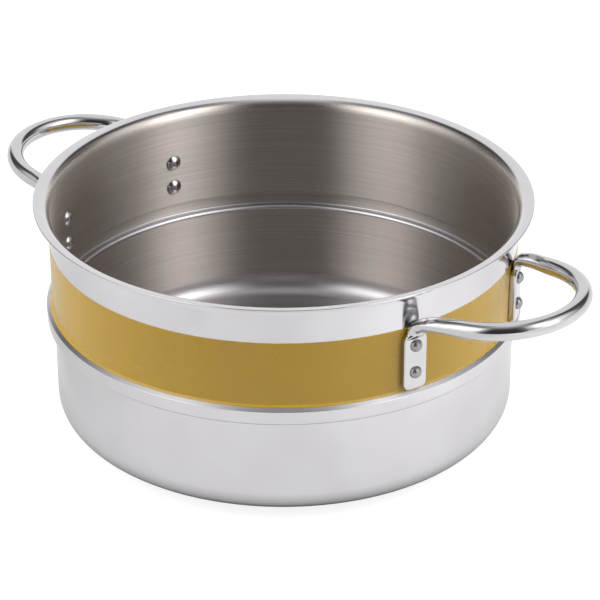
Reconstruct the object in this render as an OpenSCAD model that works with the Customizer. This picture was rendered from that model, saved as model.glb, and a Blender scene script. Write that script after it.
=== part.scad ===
// Two-handled buffet pot, open at the top.
// A drawn sheet-metal shell carries a coloured band on its upper wall, a loop handle riveted
// on at each side and a heat-spreading base bonded underneath.
// The origin is the centre of the underside, +Z is up and the handles lie along X.

/* [Pot] */
// Outside diameter of the rim
rim_d = 266; // [240:1:300]
// Height from the underside to the top edge of the rim
pot_h = 129; // [120:1:150]
// Thickness of the drawn sheet
sheet_t = 1.2; // [0.8:0.1:1.6]
// Radius between the lower wall and the flat bottom
corner_r = 13; // [8:0.1:16]

/* [Rim] */
// How far the rim edge stands out from the upper wall
rim_overhang = 7.9; // [7.2:0.1:10]
// Angle of the rim's lip above level
rim_angle = 2; // [0:0.5:12]
// Radius of the bend on the outer side, under the rim
rim_bend_r = 6.2; // [4:0.1:6.6]

/* [Shoulder] */
// Depth of the upper wall, from the rim edge to the flare
upper_wall_h = 57.6; // [54:0.1:62]
// How far the shoulder stands out from the upper wall
shoulder_out = 3.1; // [2:0.1:5]
// Height of the flare between the upper wall and the shoulder
flare_h = 2.4; // [1.5:0.1:4]
// Height of the shoulder, from the flare to the step under it
shoulder_h = 8.1; // [6:0.1:12]
// Width of the step from the shoulder in to the lower wall
step_in = 4; // [3.2:0.1:5]
// Radius of the shoulder's lower edge
shoulder_edge_r = 2; // [1.8:0.1:2.2]
// Radius of the bend where the step meets the lower wall
step_bend_r = 1; // [0.5:0.1:1]

/* [Colour band] */
// Distance from the rim edge down to the band
band_drop = 22.5; // [18:0.1:28]
// Thickness of the band
band_t = 0.15; // [0.1:0.05:0.3]
// How far the band's lower edge runs down the flare
band_lap = 0.9; // [0.4:0.1:1.2]

/* [Base] */
// Diameter of the bonded base
base_d = 214; // [180:1:216]
// Thickness of the bonded base
base_h = 5; // [4:0.1:6]
// Thickness of the cap over the core
cap_t = 0.8; // [0.6:0.1:1]
// Radius of the cap's lower edge
base_edge_r = 2.5; // [1.5:0.1:3]

/* [Handles] */
// Diameter of the handle rod
rod_d = 9.3; // [7:0.1:10]
// Distance between the two legs of one handle where they meet the wall, centre to centre
leg_gap = 92; // [84:1:100]
// Angle at which each leg leans in towards the tip
leg_lean = 9.5; // [0:0.5:12]
// Distance from the rim edge out to the centre line at the handle's tip
handle_reach = 47.2; // [42:0.1:60]
// Distance from the rim edge down to the rod where it meets the wall
handle_drop = 18.5; // [17.5:0.1:19]
// Angle at which the handle rises outwards
handle_rise = 5; // [0:0.5:10]
// Radius of the bend from the leg down into the pad, on the centre line
rod_bend_r = 7; // [5.2:0.1:7.5]

/* [Pads] */
// Width of the flattened end of the rod
pad_w = 13.3; // [12:0.1:16]
// Thickness of the flattened end of the rod
pad_t = 3.5; // [3:0.1:4]
// Height of the centre of the pad's round top above the upper rivet
pad_crown = 2; // [1:0.1:2.5]
// Distance from the lower rivet to the pad's lower end
pad_tail = 9.6; // [7:0.1:9.8]
// Radius of the pad's lower corners
pad_corner_r = 3.5; // [2:0.1:5]

/* [Rivets] */
// Distance from the rim edge down to the upper rivets
rivet_drop = 31.9; // [31.5:0.1:32.2]
// Distance between the upper and the lower rivet
rivet_pitch = 15.2; // [12:0.1:15.4]
// Diameter of the rivet shank
shank_d = 5; // [4:0.1:5.5]
// Diameter of the rivet head inside the pot
inner_head_d = 9.5; // [8:0.1:11]
// Height of the rivet head inside the pot
inner_head_h = 2.4; // [1.5:0.1:3]
// Diameter of the rivet head on the pad
outer_head_d = 6.9; // [6.2:0.1:7.5]
// Height of the rivet head on the pad
outer_head_h = 2.6; // [1.5:0.1:3]

/* [Hidden] */
$fn = 96;
SIDES = ["right", "left"];
ENDS = ["front", "rear"];
ROWS = ["upper", "lower"];

cut = 1; // how far a cutting shape runs past what it cuts
lap = 0.2; // how far the bend's outline runs into the wall's and the lip's, so that they join
rim_r = rim_d / 2;
upper_r = rim_r - rim_overhang;
shoulder_r = upper_r + shoulder_out;
lower_r = shoulder_r - step_in;
crease_z = pot_h - upper_wall_h;
shoulder_z = crease_z - flare_h;
step_z = shoulder_z - shoulder_h;
flare_angle = atan(flare_h / shoulder_out);

band_r = upper_r + band_t;
pad_r = band_r + pad_t;
leg_y = leg_gap / 2;
pad_mid_r = band_r + pad_t / 2;
pad_angle = asin(leg_y / pad_mid_r);
heel_x = pad_mid_r * cos(pad_angle);
heel_reach = rod_bend_r * (1 - sin(handle_rise));
leg_x = heel_x + heel_reach * cos(leg_lean);
leg_start_y = leg_y - heel_reach * sin(leg_lean);
leg_z = pot_h - handle_drop;
tip_run = (rim_r + handle_reach - leg_x) / cos(handle_rise);
loop_r = (leg_start_y * cos(leg_lean) - tip_run * sin(leg_lean)) / (1 - sin(leg_lean));
leg_length = (tip_run - loop_r * (1 - sin(leg_lean))) / cos(leg_lean);
rivet_z = [pot_h - rivet_drop, pot_h - rivet_drop - rivet_pitch];
pad_low_z = rivet_z[1] - pad_tail;

// Name of one rivet, from its handle, its end of the handle and its row
function rivet_name(side, end, row) = str("rivet_", SIDES[side], "_", ENDS[end], "_", ROWS[row]);

// Direction of one pad, seen from above
function pad_direction(side, end) = 180 * side + (end == side ? -1 : 1) * pad_angle;

// Height of the rim's underside at radius r, moved towards the inside by inset
function rim_line(r, inset) = pot_h - (sheet_t - inset) / cos(rim_angle) - (rim_r - r) * tan(rim_angle);

// How far both ends of the flare drop when its face moves inwards by inset
function flare_shift(inset) = inset * (1 - sin(flare_angle)) / cos(flare_angle);

// Half outline of a round block from z0 to z1 with a rounded lower edge
module block_outline(r, z0, z1, edge_r) {
    translate([0, z0 + edge_r]) square([r, z1 - z0 - edge_r]);
    translate([0, z0]) square([r - edge_r, edge_r]);
    translate([r - edge_r, z0 + edge_r]) circle(r = edge_r);
}

// Half outline of the upper wall and of the flare between it and the shoulder
module upper_outline(inset, top_z) {
    polygon([
        [0, shoulder_z - flare_shift(inset)],
        [shoulder_r - inset, shoulder_z - flare_shift(inset)],
        [upper_r - inset, crease_z - flare_shift(inset)],
        [upper_r - inset, top_z],
        [0, top_z]
    ]);
}

// Fills the inside of the bend where the step meets the lower wall
module step_bend_outline(inset) {
    bend_r = step_bend_r + inset;
    difference() {
        translate([lower_r - inset, step_z - step_bend_r]) square(bend_r);
        translate([lower_r + step_bend_r, step_z - step_bend_r]) circle(r = bend_r);
    }
}

// Fills the inside of the bend where the upper wall meets the rim
module rim_bend_outline(inset) {
    bend_r = rim_bend_r + inset;
    centre = [upper_r + rim_bend_r, rim_line(upper_r + rim_bend_r, 0) - rim_bend_r / cos(rim_angle)];
    wall_x = upper_r - inset - lap;
    difference() {
        polygon([
            [wall_x, centre[1]],
            centre,
            centre + (bend_r + lap) * [-sin(rim_angle), cos(rim_angle)],
            [wall_x, rim_line(wall_x, inset + lap)]
        ]);
        translate(centre) circle(r = bend_r);
    }
}

// Half outline of all that lies within the shell's outer face, moved inwards by inset
module shell_outline(inset, top_z, edge_r) {
    block_outline(lower_r - inset, base_h + inset, top_z, corner_r - inset);
    block_outline(shoulder_r - inset, step_z + inset, shoulder_z - flare_shift(inset), shoulder_edge_r - inset);
    upper_outline(inset, top_z);
    step_bend_outline(inset);
    rim_bend_outline(inset);
    polygon([
        [0, rim_line(0, inset)],
        [edge_r, rim_line(edge_r, inset)],
        [edge_r, top_z],
        [0, top_z]
    ]);
}

// Holes for all eight rivet shanks
module rivet_holes() {
    for (side = [0, 1], end = [0, 1], z = rivet_z)
        rotate([0, 0, pad_direction(side, end)])
            translate([upper_r / 2, 0, z])
                rotate([0, 90, 0]) cylinder(d = shank_d, h = upper_r);
}

module pot_body() {
    color("silver")
    difference() {
        rotate_extrude() difference() {
            shell_outline(0, pot_h, rim_r);
            shell_outline(sheet_t, pot_h + cut, rim_r + cut);
        }
        rivet_holes();
    }
}

module colour_band() {
    color("goldenrod")
    difference() {
        rotate_extrude() difference() {
            intersection() {
                shell_outline(-band_t, pot_h, rim_r);
                translate([0, crease_z - band_lap])
                    square([rim_r, upper_wall_h + band_lap - band_drop]);
            }
            shell_outline(0, pot_h, rim_r);
        }
        rivet_holes();
    }
}

module base_core() {
    color("lightgray")
    rotate_extrude() block_outline(base_d / 2 - cap_t, cap_t, base_h, base_edge_r - cap_t);
}

module base_cap() {
    color("silver")
    rotate_extrude() difference() {
        block_outline(base_d / 2, 0, base_h, base_edge_r);
        block_outline(base_d / 2 - cap_t, cap_t, base_h + cut, base_edge_r - cap_t);
    }
}

// Rod of one handle: the arc at the tip, both legs and the bends down towards the pads
module handle_rod() {
    arc_end = 90 - leg_lean;
    translate([leg_x, 0, leg_z]) rotate([0, -handle_rise, 0]) translate([tip_run - loop_r, 0, 0]) {
        rotate([0, 0, -arc_end])
            rotate_extrude(angle = 2 * arc_end) translate([loop_r, 0]) circle(d = rod_d);
        for (way = [-1, 1])
            rotate([0, 0, way * arc_end]) translate([loop_r, 0, 0]) {
                rotate([-90 * way, 0, 0]) cylinder(d = rod_d, h = leg_length);
                translate([0, way * leg_length, -rod_bend_r]) rotate([0, -90, 0])
                    rotate_extrude(angle = way * (90 - handle_rise))
                        translate([rod_bend_r, 0]) circle(d = rod_d);
            }
    }
}

// Outline of a pad on its face: a round top, straight sides and rounded lower corners
module pad_outline() {
    lower_y = pad_w / 2 - pad_corner_r;
    crown_z = rivet_z[0] + pad_crown;
    translate([0, crown_z]) circle(d = pad_w);
    translate([-pad_w / 2, pad_low_z + pad_corner_r])
        square([pad_w, crown_z - pad_low_z - pad_corner_r]);
    translate([-lower_y, pad_low_z]) square([2 * lower_y, pad_corner_r]);
    for (y = [-lower_y, lower_y])
        translate([y, pad_low_z + pad_corner_r]) circle(r = pad_corner_r);
}

// Pad curved round the wall, facing +X
module pad() {
    intersection() {
        cylinder(r = pad_r, h = pot_h);
        translate([upper_r / 2, 0, 0]) rotate([90, 0, 90])
            linear_extrude(height = upper_r) pad_outline();
    }
}

module handle(side) {
    color("silver")
    difference() {
        rotate([0, 0, 180 * side]) {
            handle_rod();
            for (direction = [-pad_angle, pad_angle])
                rotate([0, 0, direction]) pad();
        }
        translate([0, 0, -cut]) cylinder(r = band_r, h = pot_h + 2 * cut);
        rivet_holes();
    }
}

// Radius of the dome of a head with diameter d and height h
function dome_r(d, h) = (d * d / 4 + h * h) / (2 * h);

// Rivet through the wall, the band and the pad, each domed head seated on a curved face
module rivet(side, end, row) {
    wall_r = upper_r - sheet_t;
    inner_dome_r = dome_r(inner_head_d, inner_head_h);
    outer_dome_r = dome_r(outer_head_d, outer_head_h);
    color("gainsboro")
    rotate([0, 0, pad_direction(side, end)]) {
        intersection() {
            translate([wall_r - inner_head_h + inner_dome_r, 0, rivet_z[row]]) sphere(r = inner_dome_r);
            cylinder(r = wall_r, h = pot_h);
        }
        difference() {
            translate([pad_r + outer_head_h - outer_dome_r, 0, rivet_z[row]]) sphere(r = outer_dome_r);
            cylinder(r = pad_r, h = pot_h);
        }
        translate([wall_r - inner_head_h / 2, 0, rivet_z[row]])
            rotate([0, 90, 0]) cylinder(d = shank_d, h = pad_r - wall_r + inner_head_h);
    }
}

pot_body();
colour_band();
base_core();
base_cap();
handle(0);  // handle_right
handle(1);  // handle_left
for (side = [0, 1], end = [0, 1], row = [0, 1])
    rivet(side, end, row);
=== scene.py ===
"""Looks of a two-handled buffet pot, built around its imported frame.

Everything is in metres, in the frame's own axes: +Z up, handles along X, the origin at the
centre of the underside. Each sub-part is a surface of revolution or a swept bar.
"""

import math

import bmesh
import bpy
from mathutils import Matrix, Vector


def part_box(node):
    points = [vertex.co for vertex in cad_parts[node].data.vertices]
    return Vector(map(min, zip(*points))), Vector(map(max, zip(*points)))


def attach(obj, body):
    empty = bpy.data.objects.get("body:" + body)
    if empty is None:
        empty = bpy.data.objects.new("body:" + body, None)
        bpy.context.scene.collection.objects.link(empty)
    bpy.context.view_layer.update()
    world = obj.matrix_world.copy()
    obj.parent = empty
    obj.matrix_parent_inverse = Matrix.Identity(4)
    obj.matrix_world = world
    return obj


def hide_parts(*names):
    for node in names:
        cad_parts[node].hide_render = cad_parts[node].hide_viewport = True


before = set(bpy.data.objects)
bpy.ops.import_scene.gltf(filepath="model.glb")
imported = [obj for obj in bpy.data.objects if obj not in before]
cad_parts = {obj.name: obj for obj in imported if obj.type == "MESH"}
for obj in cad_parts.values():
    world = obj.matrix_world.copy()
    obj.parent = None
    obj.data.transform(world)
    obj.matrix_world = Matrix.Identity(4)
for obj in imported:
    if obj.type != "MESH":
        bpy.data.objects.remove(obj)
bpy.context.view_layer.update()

MM = 0.001
TAU = 2 * math.pi
SIDES = ("right", "left")
ENDS = ("front", "rear")
ROWS = ("upper", "lower")

# ---------------------------------------------------------------- sizes read from the frame
pot_low, pot_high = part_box("pot_body")
RIM_R = pot_high.x
POT_H = pot_high.z
SHELL_Z = pot_low.z
BAND_Z = (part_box("colour_band")[0].z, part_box("colour_band")[1].z)
BASE_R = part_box("base_cap")[1].x
HANDLE_TIP_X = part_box("handle_right")[1].x
PAD_LOW_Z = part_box("handle_right")[0].z

# ---------------------------------------------------------------- sizes of the drawn shell
SHEET_T = 1.2 * MM
RIM_OVERHANG = 7.9 * MM
RIM_ANGLE = math.radians(2)
RIM_BEND_R = 6.2 * MM
RIM_EDGE_R = 0.38 * MM
# Where the lip's polish gives way to the brushing of the wall, in degrees round the rim's bend
RIM_POLISH_END = 130
UPPER_WALL_H = 57.6 * MM
FLARE_W = 3.1 * MM
FLARE_H = 2.4 * MM
SHOULDER_H = 8.1 * MM
STEP_W = 4 * MM
UPPER_R = RIM_R - RIM_OVERHANG
SHOULDER_R = UPPER_R + FLARE_W
LOWER_R = SHOULDER_R - STEP_W
CREASE_Z = POT_H - UPPER_WALL_H
SHOULDER_Z = CREASE_Z - FLARE_H
STEP_Z = SHOULDER_Z - SHOULDER_H
FLARE_ANGLE = math.atan((CREASE_Z - SHOULDER_Z) / (SHOULDER_R - UPPER_R))
CORNER_R = 13 * MM
SHOULDER_EDGE_R = 2 * MM
STEP_BEND_R = 1 * MM
CREASE_FILLET_R = 0.5 * MM
# How much of the walls above and below the flare is used to round the corners between them
FLARE_LEAD = 5 * MM

# ---------------------------------------------------------------- sizes of the band and the base
BAND_T = 0.15 * MM
# How far the band's hidden back lies inside the wall
BAND_BED = 0.03 * MM
# The band's rounded top edge, as distances out from the wall and down from the top
BAND_TOP_EDGE = ((-BAND_BED, 0), (0.4 * BAND_T, 0), (0.8 * BAND_T, 0.05 * MM), (BAND_T, 0.15 * MM))
# Down the flare: how far short of its end the band starts to thin and, in mm, how far on from
# there its foot and its hidden root lie
BAND_THINS = 0.25 * MM
BAND_FOOT_MM = 0.1
BAND_ROOT_MM = 0.12
CAP_T = 0.8 * MM
CAP_EDGE_R = 2.5 * MM

# ---------------------------------------------------------------- sizes of the handles and rivets
ROD_R = 4.65 * MM
LEG_Y = 46 * MM
LEG_LEAN = math.radians(9.5)
LEG_Z = POT_H - 18.5 * MM
RISE = math.radians(5)
ROD_BEND_R = 7 * MM
PAD_HALF_W = 6.65 * MM
PAD_HALF_T = 1.75 * MM
PAD_CORNER_R = 3.5 * MM
PAD_EDGE_R = 0.75 * MM
PAD_BACK_EDGE_R = 0.4 * MM
PAD_MID_R = UPPER_R + BAND_T + PAD_HALF_T
PAD_ANGLE = math.asin(LEG_Y / PAD_MID_R)
PAD_CROWN_Z = POT_H - 29.9 * MM
PAD_CREASE_Z = POT_H - 27.7 * MM
RIVET_Z = {"upper": POT_H - 31.9 * MM, "lower": POT_H - 47.1 * MM}
RIVET_SHANK_R = 2.5 * MM
# Radius and height of the two heads. Their edges tuck in by RIVET_EDGE and reach RIVET_SINK below
# the face they sit on
RIVET_INNER = (4.75 * MM, 2.4 * MM)
RIVET_OUTER = (3.45 * MM, 2.6 * MM)
RIVET_EDGE = 0.18 * MM
RIVET_SINK = 0.12 * MM

# ---------------------------------------------------------------- finishes
BRUSHED_TONE = (0.65, 0.595, 0.55)
BRUSHED_ROUGH = 0.43
BRUSHED_ANISOTROPY = 1.0
LEDGE_TONE = (0.66, 0.65, 0.68)
LEDGE_ROUGH = 0.30
LEDGE_ANISOTROPY = 0.5
WELL_TONE = (0.63, 0.61, 0.625)
WELL_ROUGH = 0.32
WELL_ANISOTROPY = 0.7
# The darkest and the brightest scratch, as shares of the tone
SCRATCH_DARK = 0.88
SCRATCH_BRIGHT = 1.06
# The heights between which the wall's brushing fades into the polish of the rim, and how much of
# its roughness is left there
RIM_FADE_Z = (POT_H - 6.6 * MM, POT_H - 3.2 * MM)
RIM_ROUGH_SHARE = 0.5
POLISHED_TONES = ((0.60, 0.585, 0.605), (0.64, 0.63, 0.645))
OUTSIDE_ROUGH = 0.10
FLARE_ROUGH = 0.30
OUTSIDE_ANISOTROPY = 0.4
COATING_TONES = ((0.360, 0.214, 0.006), (0.380, 0.228, 0.009))
COATING_ROUGH = (0.24, 0.30)
COATING_IOR = 1.58
CORE_TONES = ((0.66, 0.67, 0.68), (0.74, 0.75, 0.76))
CORE_ROUGH = (0.35, 0.5)
BAR_TONE = (0.585, 0.575, 0.585)
BAR_ROUGH = (0.05, 0.10)
INNER_RIVET_TONE = (0.66, 0.65, 0.65)
INNER_RIVET_ROUGH = (0.10, 0.16)
# The button heads are satin, which is real, and their tone is darker than the same steel of the inner
# heads, which is painted shade
OUTER_RIVET_SHADED_TONE = (0.34, 0.33, 0.335)
OUTER_RIVET_ROUGH = (0.28, 0.36)
# The darkest patch of bar or rivet steel, as a share of its tone
BAR_DARK = 0.93
# How much a step outwards counts for turned marks, when a step up counts as 1
TURN_SKEW = 1.31
# Anisotropic rotation is given in whole turns
QUARTER_TURN = 0.25

# ---------------------------------------------------------------- camera
CAMERA_AZIMUTH = math.radians(37.6)
CAMERA_PITCH = math.radians(27.92)
CAMERA_DISTANCE = 1.3584
CAMERA_LENS = 150
CAMERA_SENSOR = 36
CAMERA_CLIP_END = 30
# Level directions in the room: towards the camera, and to its right
FORWARDS = (math.sin(CAMERA_AZIMUTH), -math.cos(CAMERA_AZIMUTH), 0)
RIGHTWARDS = (math.cos(CAMERA_AZIMUTH), math.sin(CAMERA_AZIMUTH), 0)
# What the camera aims at: a point this far to the right of the pot's axis, and this high
TARGET_REACH = 8.65 * MM
TARGET_Z = 64.43 * MM
CAMERA_TARGET = Vector((TARGET_REACH * RIGHTWARDS[0], TARGET_REACH * RIGHTWARDS[1], TARGET_Z))

# ---------------------------------------------------------------- the studio round the pot
# Levels by azimuth in degrees, 0 on the camera's side and positive to its right
ROOM_RING = (
    (-180, 1.06), (-154, 1.06), (-143, 0.09), (-60, 0.09), (-22, 0.05),
    (20, 0.05), (60, 0.09), (143, 0.09), (154, 1.06), (180, 1.06),
)
SWEEP_FOOT_ROUND = ((-180, 0.95), (-38, 0.95), (-22, 0.0), (18, 0.0), (34, 0.95), (180, 0.95))
SOFT_BOX_ROUND = (
    (-128, 0.0), (-115, 0.03), (-100, 0.28), (-80, 0.52), (-64, 1.03), (-50, 1.03), (-40, 0.74),
    (-28, 0.12), (-20, 0.0), (14, 0.0), (24, 0.06), (34, 0.34), (42, 0.72), (56, 1.42), (64, 1.42),
    (80, 0.58), (100, 0.36), (116, 0.05), (130, 0.0),
)
# Lights to either side that only matt surfaces catch
SIDE_LIGHT_ROUND = (
    (-145, 0.0), (-125, 1.6), (-85, 1.2), (-62, 0.0), (57, 0.0), (78, 1.5), (120, 1.9), (145, 0.0),
)
# Levels by height in degrees above the floor
SWEEP_FOOT_UP = ((6, 1.0), (15, 0.0))
ROOM_ZENITH = ((40, 0.05), (52, 0.10), (65, 0.26), (74, 0.40), (82, 0.70), (90, 0.70))
BOX_UP = ((0, 0.0), (8, 0.3), (20, 0.65), (34, 1.0), (48, 1.0), (56, 0.52), (62, 0.48), (67, 0.0))
SOFT_BOX_LEVEL = 2.4
SIDE_LIGHT_LEVEL = 3.4
# How much light the soft boxes add for matt surfaces, as a share of what they show in reflections
MATT_FILL = 1.0
FLOOR_R = 9
FLOOR_SEGMENTS = 96
# The matt grey that takes the pot's shadow, and the glow that makes it white to the camera
FLOOR_TONE = 0.25
FLOOR_GLOW = 0.84
# The floor's level in reflections is painted light and shade, the product of three: by the distance in mm
# to the right of the pot's axis, by the distance towards the camera, and by the distance from the axis,
# which paints the pot's shadow under it
FLOOR_RIGHTWARDS = (
    (-400, 0.60), (-250, 0.57), (-210, 0.55), (-140, 0.62), (0, 0.56), (140, 0.74), (210, 0.87),
    (300, 0.80), (400, 0.78),
)
FLOOR_FORWARDS = (
    (-200, 0.76), (-60, 0.79), (60, 0.95), (130, 1.0), (240, 0.94), (285, 0.85), (400, 0.83),
)
FLOOR_SHADE = ((110, 0.0), (116, 0.10), (122, 0.36), (128, 0.60), (137, 0.80), (155, 1.0))
# Added to a distance in metres on either side of the axis, so that it falls within a ramp's 0 to 1
RAMP_MIDDLE = 0.5

# ---------------------------------------------------------------- how finely the meshes are cut
LATHE_STEPS = 288
RIVET_STEPS = 48
DOME_STEPS = 14
# Straight runs have a point this far from each end, so that smooth shading stays flat between them
EDGE_HOLD = 0.4 * MM
# Points closer than this are one point
SAME = 1e-7


# ================================================================ mesh helpers
def link(name, mesh, materials):
    """A new piece with this mesh and these materials, shaded smooth."""
    for material in materials:
        mesh.materials.append(material)
    mesh.polygons.foreach_set("use_smooth", [True] * len(mesh.polygons))
    piece = bpy.data.objects.new(name, mesh)
    bpy.context.scene.collection.objects.link(piece)
    return piece


def mix(a, b, t):
    """a where t is 0, b where it is 1, and evenly between them."""
    return a + (b - a) * t


def smooth(x, start, end):
    """0 before start, 1 after end, and an even S between them."""
    t = min(max((x - start) / (end - start), 0), 1)
    return t * t * (3 - 2 * t)


def arc(centre, radius, start, end, steps):
    """Points on an arc in the (radius, height) plane, from start to end in degrees."""
    angles = [math.radians(start + (end - start) * i / steps) for i in range(steps + 1)]
    return [(centre[0] + radius * math.cos(a), centre[1] + radius * math.sin(a)) for a in angles]


def line(start, end, steps):
    """Points strictly between start and end. On a long line one lies EDGE_HOLD from each end."""
    length = math.dist(start, end)
    stops = [i / steps for i in range(1, steps)]
    hold = EDGE_HOLD / length
    if length > 3 * EDGE_HOLD:
        stops = [hold] + [s for s in stops if hold < s < 1 - hold] + [1 - hold]
    return [tuple(mix(a, b, s) for a, b in zip(start, end)) for s in stops]


def fillet(before, corner, after, radius, steps=6):
    """The corner between two straight runs, rounded to radius."""
    a, b, c = Vector(before), Vector(corner), Vector(after)
    to_a, to_c = (a - b).normalized(), (c - b).normalized()
    half = to_a.angle(to_c) / 2
    centre = b + (to_a + to_c).normalized() * (radius / math.sin(half))
    first = b + to_a * (radius / math.tan(half))
    last = b + to_c * (radius / math.tan(half))
    points = []
    for i in range(steps + 1):
        chord = first.lerp(last, i / steps) - centre
        points.append(tuple(centre + chord.normalized() * radius))
    return points


def lathe(name, profile, materials, closed=False, steps=LATHE_STEPS, material_of=None):
    """The surface that a (radius, height) profile sweeps round Z. A point on the axis closes it.

    closed joins the profile's last point to its first. material_of gives the material's number
    for each stretch between two points.
    """
    mesh = bpy.data.meshes.new(name)
    bm = bmesh.new()
    turns = [TAU * i / steps for i in range(steps)]
    rings = []
    for radius, height in profile:
        if radius < SAME:
            rings.append([bm.verts.new((0, 0, height))])
            continue
        rings.append([bm.verts.new((radius * math.cos(a), radius * math.sin(a), height)) for a in turns])
    pairs = list(zip(rings, rings[1:] + rings[:1]))
    if not closed:
        pairs.pop()
    for number, (low, high) in enumerate(pairs):
        for i in range(steps):
            j = (i + 1) % steps
            corners = [low[i % len(low)], low[j % len(low)], high[j % len(high)], high[i % len(high)]]
            unique = [v for k, v in enumerate(corners) if v not in corners[:k]]
            face = bm.faces.new(unique)
            if material_of:
                face.material_index = material_of(number)
    bmesh.ops.recalc_face_normals(bm, faces=bm.faces)
    bm.to_mesh(mesh)
    bm.free()
    return link(name, mesh, materials)


# ================================================================ node helpers
class Nodes:
    """The node tree of a material or of the world, with short calls for the nodes used here."""

    def __init__(self, owner):
        owner.use_nodes = True
        self.tree = owner.node_tree

    def node(self, kind, **settings):
        made = self.tree.nodes.new(kind)
        for key, value in settings.items():
            setattr(made, key, value)
        return made

    def wire(self, source, target):
        self.tree.links.new(source, target)

    def feed(self, sockets, values):
        """Sets each plain number on its socket, and wires each output to it."""
        for socket, value in zip(sockets, values):
            if isinstance(value, (int, float)):
                socket.default_value = value
            else:
                self.wire(value, socket)

    def math(self, operation, *values):
        made = self.node("ShaderNodeMath", operation=operation)
        self.feed(made.inputs, values)
        return made.outputs[0]

    def product(self, *values):
        result = values[0]
        for value in values[1:]:
            result = self.math("MULTIPLY", result, value)
        return result

    def combine(self, x, y, z):
        made = self.node("ShaderNodeCombineXYZ")
        self.feed(made.inputs, (x, y, z))
        return made.outputs[0]

    def split(self, vector):
        made = self.node("ShaderNodeSeparateXYZ")
        self.wire(vector, made.inputs[0])
        return made.outputs

    def length(self, vector):
        made = self.node("ShaderNodeVectorMath", operation="LENGTH")
        self.wire(vector, made.inputs[0])
        return made.outputs["Value"]

    def dot(self, vector, direction):
        """How far vector reaches in a fixed direction."""
        made = self.node("ShaderNodeVectorMath", operation="DOT_PRODUCT")
        self.wire(vector, made.inputs[0])
        made.inputs[1].default_value = direction
        return made.outputs["Value"]

    def place(self):
        """The piece's own coordinates."""
        return self.node("ShaderNodeTexCoord").outputs["Object"]

    def noise(self, vector, scale, detail, roughness):
        made = self.node("ShaderNodeTexNoise")
        made.inputs["Scale"].default_value = scale
        made.inputs["Detail"].default_value = detail
        made.inputs["Roughness"].default_value = roughness
        self.wire(vector, made.inputs["Vector"])
        return made.outputs["Fac"]

    def spread(self, value, low, high, start=0.3, end=0.7):
        """value from start..end, mapped to low..high and held there outside it."""
        made = self.node("ShaderNodeMapRange")
        made.inputs["From Min"].default_value = start
        made.inputs["From Max"].default_value = end
        made.inputs["To Min"].default_value = low
        made.inputs["To Max"].default_value = high
        self.wire(value, made.inputs["Value"])
        return made.outputs["Result"]

    def blend(self, factor, first, second):
        """One colour where factor is 0, the other where it is 1."""
        made = self.node("ShaderNodeMix", data_type="RGBA")
        self.wire(factor, made.inputs["Factor"])
        made.inputs["A"].default_value = (*first, 1)
        made.inputs["B"].default_value = (*second, 1)
        return made.outputs["Result"]

    def ramp(self, value, stops):
        """A grey curve through (position, level) stops, with positions from 0 to 1."""
        made = self.node("ShaderNodeValToRGB")
        made.color_ramp.interpolation = "EASE"
        elements = made.color_ramp.elements
        while len(elements) < len(stops):
            elements.new(0.5)
        for element, (position, level) in zip(elements, stops):
            element.position = position
            element.color = (level, level, level, 1)
        self.wire(value, made.inputs[0])
        return made.outputs["Color"]

    def turned(self, along, across):
        """Coordinates for marks that run round Z, on walls and floors alike.

        They change slowly along the turn and quickly across it.
        """
        x, y, z = self.split(self.place())
        radius = self.length(self.combine(x, y, 0))
        depth = self.math("ADD", self.product(radius, TURN_SKEW), z)
        return self.combine(self.product(x, along), self.product(y, along), self.product(depth, across))


class Surface(Nodes):
    """A new material, with short calls for its shader."""

    def __init__(self, name):
        self.material = bpy.data.materials.new(name)
        super().__init__(self.material)
        self.inputs = self.tree.nodes["Principled BSDF"].inputs

    def dress(self, colour, rough):
        """Wires the base colour and the roughness."""
        self.wire(colour, self.inputs["Base Color"])
        self.wire(rough, self.inputs["Roughness"])

    def bump(self, height, strength, distance):
        """Relief from a height, with the relief's strength and its depth in metres."""
        made = self.node("ShaderNodeBump")
        made.inputs["Strength"].default_value = strength
        made.inputs["Distance"].default_value = distance
        self.wire(height, made.inputs["Height"])
        self.wire(made.outputs["Normal"], self.inputs["Normal"])

    def turned_metal(self, anisotropy):
        """Bare metal whose reflections are drawn out by marks that run round Z."""
        self.inputs["Metallic"].default_value = 1
        self.inputs["Anisotropic"].default_value = anisotropy
        self.inputs["Anisotropic Rotation"].default_value = QUARTER_TURN
        tangent = self.node("ShaderNodeTangent", direction_type="RADIAL", axis="Z")
        self.wire(tangent.outputs[0], self.inputs["Tangent"])


# ================================================================ materials
def brushed_steel(name, tone, rough, anisotropy, fade=None):
    """Circumferentially brushed steel, warm grey, with long fine scratches.

    fade gives the heights between which the brushing fades into the polish of the rim.
    """
    surface = Surface(name)
    fine = surface.noise(surface.turned(9, 2700), 1.0, 1.0, 0.6)
    coarse = surface.noise(surface.turned(14, 1700), 1.0, 1.0, 0.6)
    patch = surface.noise(surface.turned(22, 22), 1.0, 1.0, 0.5)
    grain = surface.math("ADD", surface.product(fine, 0.5), surface.product(coarse, 0.5))
    dark = tuple(SCRATCH_DARK * c for c in tone)
    bright = tuple(SCRATCH_BRIGHT * c for c in tone)
    colour = surface.blend(surface.spread(grain, 0, 1, 0.36, 0.64), dark, bright)
    scratched = surface.spread(grain, rough - 0.02, rough + 0.02)
    level = surface.math("ADD", scratched, surface.spread(patch, -0.01, 0.01))
    if fade:
        height = surface.split(surface.place())[2]
        level = surface.product(level, surface.spread(height, 1, RIM_ROUGH_SHARE, *fade))
    surface.dress(colour, level)
    surface.bump(grain, 0.6, 0.0001)
    surface.turned_metal(anisotropy)
    return surface.material


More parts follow.
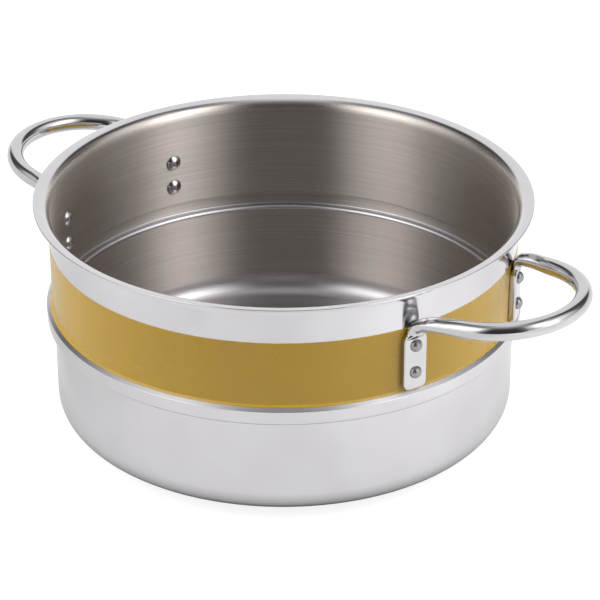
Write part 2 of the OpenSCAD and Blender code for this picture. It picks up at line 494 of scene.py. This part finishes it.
def polished_outside(name, rough):
    """Bright polished steel with faint turned marks."""
    surface = Surface(name)
    fine = surface.noise(surface.turned(18, 2600), 1.0, 2.0, 0.5)
    patch = surface.noise(surface.turned(28, 28), 1.0, 2.0, 0.5)
    colour = surface.blend(surface.spread(patch, 0, 1), *POLISHED_TONES)
    marked = surface.spread(fine, rough, rough + 0.05)
    surface.dress(colour, surface.math("ADD", marked, surface.spread(patch, -0.02, 0.03)))
    surface.bump(fine, 0.05, 0.00002)
    surface.turned_metal(OUTSIDE_ANISOTROPY)
    return surface.material


def polished_bar(name, tone, rough):
    """Polished bar or rivet steel with faint handling marks. rough is its lowest and highest roughness."""
    surface = Surface(name)
    place = surface.place()
    patch = surface.noise(place, 60, 3.0, 0.55)
    fine = surface.noise(place, 900, 2.0, 0.6)
    dark = tuple(BAR_DARK * c for c in tone)
    surface.dress(surface.blend(surface.spread(patch, 0, 1), dark, tone), surface.spread(patch, *rough))
    surface.bump(fine, 0.04, 0.00002)
    surface.inputs["Metallic"].default_value = 1
    return surface.material


def enamel_band():
    """Glossy ochre-yellow coating, with a faint waviness."""
    surface = Surface("ochre_coating")
    place = surface.place()
    wave = surface.noise(place, 130, 1.0, 0.5)
    patch = surface.noise(place, 24, 2.0, 0.5)
    colour = surface.blend(surface.spread(patch, 0, 1), *COATING_TONES)
    surface.dress(colour, surface.spread(patch, *COATING_ROUGH))
    surface.bump(wave, 0.03, 0.00005)
    surface.inputs["IOR"].default_value = COATING_IOR
    return surface.material


def core_aluminium():
    """Rolled aluminium, seen nowhere but in section."""
    surface = Surface("core_aluminium")
    patch = surface.noise(surface.place(), 300, 3.0, 0.6)
    colour = surface.blend(surface.spread(patch, 0, 1), *CORE_TONES)
    surface.dress(colour, surface.spread(patch, *CORE_ROUGH))
    surface.inputs["Metallic"].default_value = 1
    return surface.material


# ================================================================ shell, band and base
def rim_line(radius):
    """Height of the rim's underside at this radius."""
    return POT_H - SHEET_T / math.cos(RIM_ANGLE) - (RIM_R - radius) * math.tan(RIM_ANGLE)


def flare_points(inset, low_radius, high_radius):
    """The flare's rounded ends, from the shoulder up to the upper wall.

    The face is moved inwards by inset.
    """
    shift = inset * (1 - math.sin(FLARE_ANGLE)) / math.cos(FLARE_ANGLE)
    foot = (SHOULDER_R - inset, SHOULDER_Z - shift)
    head = (UPPER_R - inset, CREASE_Z - shift)
    below = (foot[0], foot[1] - FLARE_LEAD)
    above = (head[0], head[1] + FLARE_LEAD)
    return fillet(below, foot, head, low_radius) + fillet(foot, head, above, high_radius)


def shell_profile():
    """Closed outline of the sheet: out from the underside's centre, up, over the rim and down inside.

    With it comes the number of the finish of each stretch between two points, in the order in
    which build_shell takes the finishes.
    """
    outside, flare, wall, ledge, well = range(5)
    inner = SHEET_T
    corner = (LOWER_R - CORNER_R, SHELL_Z + CORNER_R)
    bend = (LOWER_R + STEP_BEND_R, STEP_Z - STEP_BEND_R)
    edge = (SHOULDER_R - SHOULDER_EDGE_R, STEP_Z + SHOULDER_EDGE_R)
    rim = (UPPER_R + RIM_BEND_R, rim_line(UPPER_R + RIM_BEND_R) - RIM_BEND_R / math.cos(RIM_ANGLE))
    tip_low = (RIM_R, rim_line(RIM_R))
    tip_high = (RIM_R, POT_H)
    slope = 90 + math.degrees(RIM_ANGLE)
    under = arc(rim, RIM_BEND_R, 180, slope, 14)
    over = arc(rim, RIM_BEND_R + inner, slope, RIM_POLISH_END, 10)
    wall_top = arc(rim, RIM_BEND_R + inner, RIM_POLISH_END, 180, 12)
    flare_inside = list(reversed(flare_points(inner, CREASE_FILLET_R, CREASE_FILLET_R)))

    # Each run is its points, its finish, and the finish of the straight stretch that leads to it
    runs = [
        ([(0, SHELL_Z)], outside, outside),
        (arc(corner, CORNER_R, -90, 0, 20), outside, outside),
        (arc(bend, STEP_BEND_R, 180, 90, 8), outside, outside),
        (arc(edge, SHOULDER_EDGE_R, -90, 0, 10), outside, outside),
        (flare_points(0, CREASE_FILLET_R, CREASE_FILLET_R), flare, outside),
        (under, outside, outside),
        (fillet(under[-1], tip_low, tip_high, RIM_EDGE_R, 5), outside, outside),
        (fillet(tip_low, tip_high, over[0], RIM_EDGE_R, 5), outside, outside),
        (over, outside, outside),
        (wall_top, wall, wall),
        (flare_inside, wall, wall),
        (arc(edge, SHOULDER_EDGE_R - inner, 0, -90, 8), ledge, wall),
        (arc(bend, STEP_BEND_R + inner, 90, 180, 10), ledge, ledge),
        (arc(corner, CORNER_R - inner, 0, -90, 20), well, wall),
        ([(0, SHELL_Z + inner)], well, well),
    ]
    points, finishes = [], []
    for run, finish, lead in runs:
        if points and math.dist(points[-1], run[0]) > SAME:
            gap = line(points[-1], run[0], 6)
            points += gap + [run[0]]
            finishes += [lead] * (len(gap) + 1)
        elif not points:
            points.append(run[0])
        points += run[1:]
        finishes += [finish] * (len(run) - 1)
    return points, finishes


def build_shell(finishes):
    """The drawn sheet. finishes are the materials of outside, flare, wall, ledge and well."""
    profile, stretches = shell_profile()
    shell = lathe("pot_shell", profile, finishes, material_of=lambda n: stretches[n])
    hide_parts("pot_body")
    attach(shell, "root")


def build_band(coating):
    """The coating is a thin skin on the upper wall, rounded off at both ends."""
    low, high = BAND_Z
    top = [(UPPER_R + out, high - down) for out, down in BAND_TOP_EDGE]
    outer = flare_points(-BAND_T, CREASE_FILLET_R, CREASE_FILLET_R + BAND_T)
    crease = outer[len(outer) // 2:]
    direction = Vector((math.cos(-FLARE_ANGLE), math.sin(-FLARE_ANGLE)))
    normal = Vector((math.sin(FLARE_ANGLE), math.cos(FLARE_ANGLE)))
    face = Vector(crease[0])
    reach = (face.y - low) / math.sin(FLARE_ANGLE) - BAND_THINS
    lip = face + direction * reach
    foot = lip + direction * BAND_FOOT_MM * MM - normal * 0.5 * BAND_T
    root = lip + direction * BAND_ROOT_MM * MM - normal * (BAND_T + BAND_BED)
    down = list(reversed(crease))
    profile = top + line(top[-1], down[0], 6) + down
    profile += [tuple(lip), tuple(foot), tuple(root), (UPPER_R - BAND_BED, crease[-1][1])]
    band = lathe("band_skin", profile, [coating], closed=True)
    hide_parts("colour_band")
    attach(band, "root")


def build_base(steel, aluminium):
    """The cap is a shallow dish round the core. The core itself stays as the frame has it."""
    edge_centre = (BASE_R - CAP_EDGE_R, CAP_EDGE_R)
    outer_edge = arc(edge_centre, CAP_EDGE_R, -90, 0, 12)
    inner_edge = arc(edge_centre, CAP_EDGE_R - CAP_T, 0, -90, 8)
    profile = [(0, 0)] + line((0, 0), outer_edge[0], 8) + outer_edge
    profile += [(BASE_R, SHELL_Z), (BASE_R - CAP_T, SHELL_Z)] + inner_edge + [(0, CAP_T)]
    cap = lathe("base_dish", profile, [steel])
    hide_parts("base_cap")
    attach(cap, "root")
    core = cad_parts["base_core"]
    core.data.materials.clear()
    core.data.materials.append(aluminium)


# ================================================================ handles
# A handle is built from one end, the front one on the right: up its pad, round the bend, along
# the leg and round half the loop. The rest is that end mirrored and turned.
PAD_SIDE = Vector((math.sin(PAD_ANGLE), math.cos(PAD_ANGLE), 0))
PAD_OUT = Vector((math.cos(PAD_ANGLE), -math.sin(PAD_ANGLE), 0))
HEEL = PAD_OUT * PAD_MID_R
RISE_TURN = Matrix.Rotation(-RISE, 3, "Y")
LEG_ALONG = RISE_TURN @ Vector((math.cos(LEG_LEAN), math.sin(LEG_LEAN), 0))
LEG_ACROSS = RISE_TURN @ Vector((-math.sin(LEG_LEAN), math.cos(LEG_LEAN), 0))
LEG_UP = RISE_TURN @ Vector((0, 0, 1))
HEEL_REACH = ROD_BEND_R * (1 - math.sin(RISE))
LEG_START = Vector((
    HEEL.x + HEEL_REACH * math.cos(LEG_LEAN),
    HEEL.y + HEEL_REACH * math.sin(LEG_LEAN),
    LEG_Z,
))
BEND_CENTRE = LEG_START - LEG_UP * ROD_BEND_R
BEND_SWEEP = math.pi / 2 - RISE
BEND_LOW = BEND_CENTRE + (LEG_UP * math.cos(BEND_SWEEP) - LEG_ALONG * math.sin(BEND_SWEEP)) * ROD_BEND_R
# How far the tip lies from the leg's start, the loop's radius and the leg's length, along the rise
TIP_RUN = (HANDLE_TIP_X - ROD_R - LEG_START.x) / math.cos(RISE)
LOOP_R = (-LEG_START.y * math.cos(LEG_LEAN) - TIP_RUN * math.sin(LEG_LEAN)) / (1 - math.sin(LEG_LEAN))
LEG_LENGTH = (TIP_RUN - LOOP_R * (1 - math.sin(LEG_LEAN))) / math.cos(LEG_LEAN)
LOOP_CENTRE = Vector((LEG_START.x, 0, LEG_Z)) + RISE_TURN @ Vector((TIP_RUN - LOOP_R, 0, 0))

# Half depths of the bar where it is pressed. The front is the pad's face and the leg's underside,
# at the foot and at the top of the bend. The back lies on the wall and is the leg's top, there and
# a little way along the leg.
HEEL_FRONT = (3.2 * MM, 4.4 * MM)
HEEL_BACK = (PAD_HALF_T, 2.5 * MM, 4.0 * MM)
# The leg's underside has a shallow neck of this depth. Measured from the leg's start, it is full at
# NECK_FULL, eases from NECK_EASES on, and is gone at NECK_LENGTH, where the bar is round.
NECK_DEPTH = 0.4 * MM
NECK_FULL = 6 * MM
NECK_EASES = 8 * MM
NECK_LENGTH = 20 * MM
# The distances from the leg's start between which its top grows to the last of HEEL_BACK
BACK_GROWS = (-6 * MM, 9 * MM)
# How far up the bend, as a share of it, the front has its full depth
FRONT_GROWN = 0.7

RING_ARC = 10
RING_FLAT = 5
PAD_END_STEPS = 14
PAD_FLAT_STEPS = 10
PAD_TAPER_STEPS = 6
PAD_SWELL_STEPS = 8
BEND_STEPS = 24
LEG_STEPS = 16
LOOP_STEPS = 56


def ring_outline(half_w, front, back, front_corner, back_corner):
    """A bar's section as (across, out) pairs. Each corner is a quarter ellipse, (across, out) in size."""
    points = []
    for sign, depth, corner in ((1, front, front_corner), (-1, back, back_corner)):
        wide, deep = min(corner[0], half_w), min(corner[1], depth)
        arc_in = [
            (half_w - wide + wide * math.cos(a), depth - deep + deep * math.sin(a))
            for a in (math.pi / 2 * i / RING_ARC for i in range(RING_ARC + 1))
        ]
        flat = half_w - wide
        across = [(flat * (1 - 2 * i / RING_FLAT), depth) for i in range(1, RING_FLAT)]
        half = arc_in + across + [(-x, y) for x, y in reversed(arc_in)]
        if sign < 0:
            half = [(-x, -y) for x, y in half]
        points += half
    return points


def oval_outline(front, back):
    """The section of the rod where it has no flats, only two depths."""
    return ring_outline(ROD_R, front, back, (ROD_R, front), (ROD_R, back))


def steps_between(low, high, steps):
    """Even steps from low, which is left out, up to high."""
    return [mix(low, high, i / steps) for i in range(1, steps + 1)]


# The functions below give lists of sections. Each is (place, across, out, outline, bend): its
# centre and axes, its outline, and how much of it is bent round the pot's wall.
def pad_stations():
    """The pad, from its lower end up to where the bend starts."""
    turns = [math.pi / 2 * i / PAD_END_STEPS for i in range(PAD_END_STEPS + 1)]
    heights = [PAD_LOW_Z + PAD_CORNER_R * (1 - math.cos(a)) for a in turns]
    heights += steps_between(heights[-1], PAD_CROWN_Z, PAD_FLAT_STEPS)
    heights += steps_between(PAD_CROWN_Z, PAD_CREASE_Z, PAD_TAPER_STEPS)
    heights += steps_between(PAD_CREASE_Z, BEND_LOW.z, PAD_SWELL_STEPS)[:-1]
    stations = []
    for z in heights:
        low = z - PAD_LOW_Z
        half_w = PAD_HALF_W
        if low < PAD_CORNER_R:
            half_w += math.sqrt(max(PAD_CORNER_R**2 - (PAD_CORNER_R - low) ** 2, 0)) - PAD_CORNER_R
        if z > PAD_CROWN_Z:
            half_w = max(math.sqrt(max(PAD_HALF_W**2 - (z - PAD_CROWN_Z) ** 2, 0)), ROD_R)
        end = min(low / PAD_EDGE_R, 1)
        soften = (1 - math.sqrt(max(1 - (1 - end) ** 2, 0))) * PAD_EDGE_R
        swell = max(z - PAD_CREASE_Z, 0) / (BEND_LOW.z - PAD_CREASE_Z)
        front = mix(PAD_HALF_T - soften, HEEL_FRONT[0], swell)
        outline = ring_outline(
            half_w - 0.6 * soften,
            front,
            PAD_HALF_T - 0.3 * soften,
            (mix(PAD_EDGE_R, ROD_R, swell), mix(PAD_EDGE_R, front, swell)),
            (mix(PAD_BACK_EDGE_R, ROD_R, swell), mix(PAD_BACK_EDGE_R, PAD_HALF_T, swell)),
        )
        stations.append((HEEL + Vector((0, 0, z)), PAD_SIDE, PAD_OUT, outline, 1 - swell))
    return stations


def bend_stations():
    """The bend from the pad up into the leg, twisted from the wall's direction to the leg's."""
    stations = []
    for i in range(BEND_STEPS + 1):
        way = i / BEND_STEPS
        theta = BEND_SWEEP * (1 - way)
        left = 1 - smooth(way, 0, 1)
        spoke = LEG_UP * math.cos(theta) - LEG_ALONG * math.sin(theta)
        tangent = LEG_ALONG * math.cos(theta) + LEG_UP * math.sin(theta)
        settle = (HEEL + Vector((0, 0, BEND_LOW.z)) - BEND_LOW) * left
        place = BEND_CENTRE + spoke * ROD_BEND_R + settle
        twist = Matrix.Rotation(-(PAD_ANGLE + LEG_LEAN) * left, 3, tangent)
        front = mix(HEEL_FRONT[0], HEEL_FRONT[1], smooth(way, 0, FRONT_GROWN))
        back = mix(HEEL_BACK[0], HEEL_BACK[1], way)
        stations.append((place, twist @ LEG_ACROSS, twist @ -spoke, oval_outline(front, back), 0))
    return stations


def leg_stations():
    """The straight leg, with its shallow neck."""
    stations = []
    for way in steps_between(0, LEG_LENGTH, LEG_STEPS):
        front = mix(HEEL_FRONT[1], ROD_R, smooth(way, NECK_FULL, NECK_LENGTH))
        front -= NECK_DEPTH * smooth(way, 0, NECK_FULL) * (1 - smooth(way, NECK_EASES, NECK_LENGTH))
        back = mix(HEEL_BACK[1], HEEL_BACK[2], smooth(way, *BACK_GROWS))
        back = mix(back, ROD_R, smooth(way, NECK_EASES, NECK_LENGTH))
        stations.append((LEG_START + LEG_ALONG * way, LEG_ACROSS, -LEG_UP, oval_outline(front, back), 0))
    return stations


def loop_stations():
    """Half of the loop, up to the handle's tip."""
    outline = oval_outline(ROD_R, ROD_R)
    stations = []
    for i in range(1, LOOP_STEPS + 1):
        angle = (math.pi / 2 - LEG_LEAN) * (i / LOOP_STEPS - 1)
        spoke = RISE_TURN @ Vector((math.cos(angle), math.sin(angle), 0))
        stations.append((LOOP_CENTRE + spoke * LOOP_R, -spoke, -LEG_UP, outline, 0))
    return stations


def station_points(station):
    """The outline of a section, set in its place."""
    place, across, out, outline, bend = station
    points = []
    for u, v in outline:
        flat = place + across * u + out * v
        if bend:
            radius = math.hypot(place.x, place.y)
            turn = Matrix.Rotation(u / radius, 3, "Z")
            curved = turn @ (place + out * v)
            flat = flat.lerp(curved, bend)
        points.append(flat)
    return points


def build_handle(side, steel):
    """A bar bent into a loop, both ends turned down and flattened into pads."""
    stations = pad_stations() + bend_stations() + leg_stations() + loop_stations()
    half = [station_points(s) for s in stations]
    mirror = [[Vector((p.x, -p.y, p.z)) for p in ring] for ring in reversed(half[:-1])]
    turn = Matrix.Rotation(math.pi * SIDES.index(side), 3, "Z")
    name = "handle_bar_" + side
    mesh = bpy.data.meshes.new(name)
    bm = bmesh.new()
    rings = [[bm.verts.new(turn @ p) for p in ring] for ring in half + mirror]
    count = len(rings[0])
    for low, high in zip(rings, rings[1:]):
        for i in range(count):
            j = (i + 1) % count
            bm.faces.new((low[i], low[j], high[j], high[i]))
    for ring in (rings[0], rings[-1]):
        middle = bm.verts.new(sum((v.co for v in ring), Vector()) / count)
        for i in range(count):
            bm.faces.new((ring[i], ring[(i + 1) % count], middle))
    bmesh.ops.remove_doubles(bm, verts=bm.verts, dist=SAME)
    bmesh.ops.recalc_face_normals(bm, faces=bm.faces)
    bm.to_mesh(mesh)
    bm.free()
    handle = link(name, mesh, [steel])
    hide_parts("handle_" + side)
    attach(handle, "root")


# ================================================================ rivets
def dome(radius, height, seat, direction):
    """A spherical head from its tucked-in edge up to its crown, as (radius, along) pairs."""
    ball = (radius**2 + height**2) / (2 * height)
    start = math.asin(radius / ball)
    points = [(radius - RIVET_EDGE, seat - direction * RIVET_SINK), (radius - 0.3 * RIVET_EDGE, seat)]
    for i in range(1, DOME_STEPS + 1):
        angle = start * (1 - i / DOME_STEPS)
        points.append((ball * math.sin(angle), seat + direction * (ball * math.cos(angle) - ball + height)))
    points[-1] = (0, seat + direction * height)
    return points


def rivet_angle(side, end):
    """Where the rivets of this pad lie round the pot, from the middle of the right handle."""
    clockwise = "front" if side == "right" else "rear"
    sign = -1 if end == clockwise else 1
    return math.pi * SIDES.index(side) + sign * PAD_ANGLE


def build_rivet(side, end, row, inner_steel, outer_shaded_steel):
    """A set rivet: domed head inside the pot, shank, and button head on the pad."""
    wall_r = UPPER_R - SHEET_T
    pad_r = UPPER_R + BAND_T + 2 * PAD_HALF_T
    inner = dome(*RIVET_INNER, wall_r, -1)
    outer = dome(*RIVET_OUTER, pad_r, 1)
    shank = [(RIVET_SHANK_R, wall_r + RIVET_SINK), (RIVET_SHANK_R, pad_r - RIVET_SINK)]
    profile = list(reversed(inner)) + shank + outer
    steels = [inner_steel, outer_shaded_steel]
    split = len(inner) + 1
    name = f"rivet_body_{side}_{end}_{row}"
    rivet = lathe(name, profile, steels, steps=RIVET_STEPS, material_of=lambda n: int(n >= split))
    turn = Matrix.Rotation(rivet_angle(side, end), 4, "Z")
    lift = Matrix.Translation((0, 0, RIVET_Z[row]))
    lay = Matrix.Rotation(math.pi / 2, 4, "Y")
    rivet.data.transform(turn @ lift @ lay)
    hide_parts(f"rivet_{side}_{end}_{row}")
    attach(rivet, "root")


# ================================================================ camera, floor and light
def build_camera():
    """The photograph's camera, level and aimed at CAMERA_TARGET."""
    data = bpy.data.cameras.new("camera")
    data.lens = CAMERA_LENS
    data.sensor_width = CAMERA_SENSOR
    data.clip_end = CAMERA_CLIP_END
    camera = bpy.data.objects.new("camera", data)
    bpy.context.scene.collection.objects.link(camera)
    back = Vector((
        math.sin(CAMERA_AZIMUTH) * math.cos(CAMERA_PITCH),
        -math.cos(CAMERA_AZIMUTH) * math.cos(CAMERA_PITCH),
        math.sin(CAMERA_PITCH),
    ))
    camera.location = CAMERA_TARGET + back * CAMERA_DISTANCE
    camera.rotation_euler = back.to_track_quat("Z", "Y").to_euler()
    bpy.context.scene.camera = camera


def floor_material():
    """White to the camera, with painted light and shade as its levels in reflections, and matt to take the
    pot's shadow.
    """
    material = bpy.data.materials.new("floor_white")
    nodes = Nodes(material)
    nodes.tree.nodes.remove(nodes.tree.nodes["Principled BSDF"])
    rays = nodes.node("ShaderNodeLightPath")
    level = nodes.math("MAXIMUM", rays.outputs["Is Glossy Ray"], rays.outputs["Is Transmission Ray"])
    spot = nodes.place()
    # Painted light: the glow seen in reflections is brighter to the right and towards the camera
    for direction, stops in ((RIGHTWARDS, FLOOR_RIGHTWARDS), (FORWARDS, FLOOR_FORWARDS)):
        reach = nodes.math("ADD", nodes.dot(spot, direction), RAMP_MIDDLE)
        shade = nodes.ramp(reach, [(mm * MM + RAMP_MIDDLE, light) for mm, light in stops])
        level = nodes.product(level, shade)
    # Painted shadow of the pot in the floor's reflections, darkest under it
    shade = nodes.ramp(nodes.length(spot), [(mm * MM, light) for mm, light in FLOOR_SHADE])
    level = nodes.product(level, shade)
    plain = nodes.product(rays.outputs["Is Camera Ray"], FLOOR_GLOW)
    matt = nodes.node("ShaderNodeBsdfDiffuse")
    matt.inputs["Color"].default_value = (FLOOR_TONE, FLOOR_TONE, FLOOR_TONE, 1)
    glow = nodes.node("ShaderNodeEmission")
    nodes.wire(nodes.math("MAXIMUM", plain, level), glow.inputs["Strength"])
    both = nodes.node("ShaderNodeAddShader")
    nodes.wire(matt.outputs[0], both.inputs[0])
    nodes.wire(glow.outputs[0], both.inputs[1])
    nodes.wire(both.outputs[0], nodes.tree.nodes["Material Output"].inputs["Surface"])
    return material


def build_floor():
    """A flat round floor at the height of the pot's underside."""
    mesh = bpy.data.meshes.new("floor")
    bm = bmesh.new()
    bmesh.ops.create_circle(bm, cap_ends=True, segments=FLOOR_SEGMENTS, radius=FLOOR_R)
    bm.to_mesh(mesh)
    bm.free()
    floor = link("floor", mesh, [floor_material()])


def round_stop(azimuth):
    """Where an azimuth, in degrees from the camera's side, lies on a ramp round the room."""
    return (azimuth + 180) / 360


def height_stop(elevation):
    """Where a height, in degrees above the floor, lies on a ramp from straight down to straight up."""
    return (elevation + 90) / 180


def build_world():
    """A soft studio, fixed in the room, whichever way the camera looks.

    A white sweep is behind the pot, soft boxes are to either side, the ceiling is bright, and the
    room is dim where the photographer stands.
    """
    world = bpy.data.worlds.new("studio")
    bpy.context.scene.world = world
    nodes = Nodes(world)
    direction = nodes.node("ShaderNodeTexCoord").outputs["Generated"]
    azimuth = nodes.math("ARCTAN2", nodes.dot(direction, RIGHTWARDS), nodes.dot(direction, FORWARDS))
    turn = nodes.math("ADD", nodes.math("DIVIDE", azimuth, TAU), 0.5)
    elevation = nodes.math("ARCSINE", nodes.dot(direction, (0, 0, 1)))
    height = nodes.math("ADD", nodes.math("DIVIDE", elevation, math.pi), 0.5)

    def around(stops):
        return nodes.ramp(turn, [(round_stop(a), level) for a, level in stops])

    def upwards(stops):
        return nodes.ramp(height, [(height_stop(e), level) for e, level in stops])

    foot = nodes.product(around(SWEEP_FOOT_ROUND), upwards(SWEEP_FOOT_UP))
    room = nodes.math("MAXIMUM", nodes.math("MAXIMUM", around(ROOM_RING), foot), upwards(ROOM_ZENITH))
    box_up = upwards(BOX_UP)
    boxes = nodes.product(around(SOFT_BOX_ROUND), box_up, SOFT_BOX_LEVEL)
    side = nodes.product(around(SIDE_LIGHT_ROUND), box_up, SIDE_LIGHT_LEVEL)
    rays = nodes.node("ShaderNodeLightPath")
    matt = rays.outputs["Is Diffuse Ray"]
    fill = nodes.math("MULTIPLY_ADD", matt, MATT_FILL, 1.0)
    lit = nodes.math("MULTIPLY_ADD", boxes, fill, room)
    studio = nodes.tree.nodes["Background"]
    nodes.wire(nodes.math("MULTIPLY_ADD", side, matt, lit), studio.inputs["Color"])
    studio.inputs["Strength"].default_value = 1.0

    white = nodes.node("ShaderNodeBackground")
    white.inputs["Color"].default_value = (1, 1, 1, 1)
    pick = nodes.node("ShaderNodeMixShader")
    nodes.wire(rays.outputs["Is Camera Ray"], pick.inputs[0])
    nodes.wire(studio.outputs[0], pick.inputs[1])
    nodes.wire(white.outputs[0], pick.inputs[2])
    nodes.wire(pick.outputs[0], nodes.tree.nodes["World Output"].inputs["Surface"])


# ================================================================ the scene
outside_steel = polished_outside("polished_outside_steel", OUTSIDE_ROUGH)
build_shell([
    outside_steel,
    polished_outside("flare_steel", FLARE_ROUGH),
    brushed_steel("brushed_wall_steel", BRUSHED_TONE, BRUSHED_ROUGH, BRUSHED_ANISOTROPY, RIM_FADE_Z),
    brushed_steel("ledge_steel", LEDGE_TONE, LEDGE_ROUGH, LEDGE_ANISOTROPY),
    brushed_steel("well_steel", WELL_TONE, WELL_ROUGH, WELL_ANISOTROPY),
])
build_band(enamel_band())
build_base(outside_steel, core_aluminium())
bar_steel = polished_bar("polished_bar_steel", BAR_TONE, BAR_ROUGH)
inner_rivet_steel = polished_bar("inner_rivet_steel", INNER_RIVET_TONE, INNER_RIVET_ROUGH)
# The same steel as the inner heads, darkened: painted shade on the button heads
outer_rivet_shaded_steel = polished_bar("outer_rivet_shaded_steel", OUTER_RIVET_SHADED_TONE, OUTER_RIVET_ROUGH)
for side in SIDES:
    build_handle(side, bar_steel)
    for end in ENDS:
        for row in ROWS:
            build_rivet(side, end, row, inner_rivet_steel, outer_rivet_shaded_steel)

build_camera()
build_floor()
build_world()
bpy.context.scene.view_settings.view_transform = "Standard"
